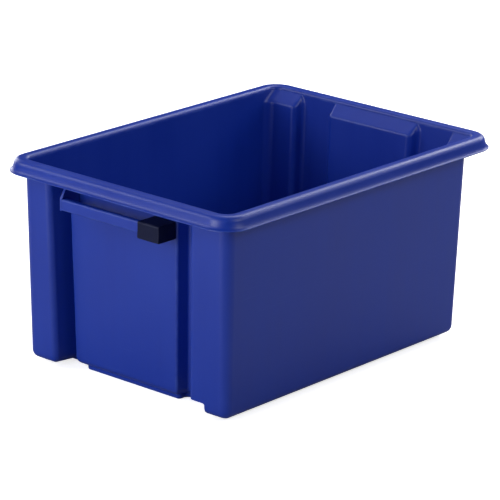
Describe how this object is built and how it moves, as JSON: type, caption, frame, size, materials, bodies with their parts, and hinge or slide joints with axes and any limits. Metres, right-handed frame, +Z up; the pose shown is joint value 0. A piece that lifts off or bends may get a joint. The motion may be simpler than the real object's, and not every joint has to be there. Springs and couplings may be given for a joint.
{
  "type": "stackable storage bin",
  "caption": "Open stack-and-nest storage bin with a rolled rim, corner posts, recessed end panels and a carrying grip under the rim at each end.",
  "frame": {"origin": "middle of the surface the bin stands on, under the middle of its rim", "axes": "+X along the bin from end A (corner posts) to end B (inset posts), +Y towards the back side wall, +Z up"},
  "size_m": [0.47, 0.34, 0.24],
  "materials": {
    "blue_plastic": "satin",
    "dark_plastic": "matt"
  },
  "bodies": {
    "root": {"base_edge_a": "blue_plastic", "base_edge_b": "blue_plastic", "base_edge_back": "blue_plastic", "base_edge_front": "blue_plastic", "base_plate": "blue_plastic", "base_sill_a": "blue_plastic", "base_sill_b": "blue_plastic", "end_a_ledge": "blue_plastic", "end_a_panel": "blue_plastic", "end_a_post_back": "blue_plastic", "end_a_post_front": "blue_plastic", "end_b_corner_back": "blue_plastic", "end_b_corner_front": "blue_plastic", "end_b_corner_ledge_back": "blue_plastic", "end_b_corner_ledge_front": "blue_plastic", "end_b_ledge": "blue_plastic", "end_b_panel": "blue_plastic", "end_b_post_back": "blue_plastic", "end_b_post_front": "blue_plastic", "foot_a_back": "blue_plastic", "foot_a_front": "blue_plastic", "foot_b_back": "blue_plastic", "foot_b_front": "blue_plastic", "grip_a_bar": "blue_plastic", "grip_a_block": "dark_plastic", "grip_a_web": "blue_plastic", "grip_b_bar": "blue_plastic", "grip_b_block": "dark_plastic", "grip_b_web": "blue_plastic", "rim_corner_a_back": "blue_plastic", "rim_corner_a_front": "blue_plastic", "rim_corner_b_back": "blue_plastic", "rim_corner_b_front": "blue_plastic", "rim_rail_a": "blue_plastic", "rim_rail_b": "blue_plastic", "rim_rail_back": "blue_plastic", "rim_rail_front": "blue_plastic", "side_wall_back": "blue_plastic", "side_wall_front": "blue_plastic"}
  },
  "joints": []
}
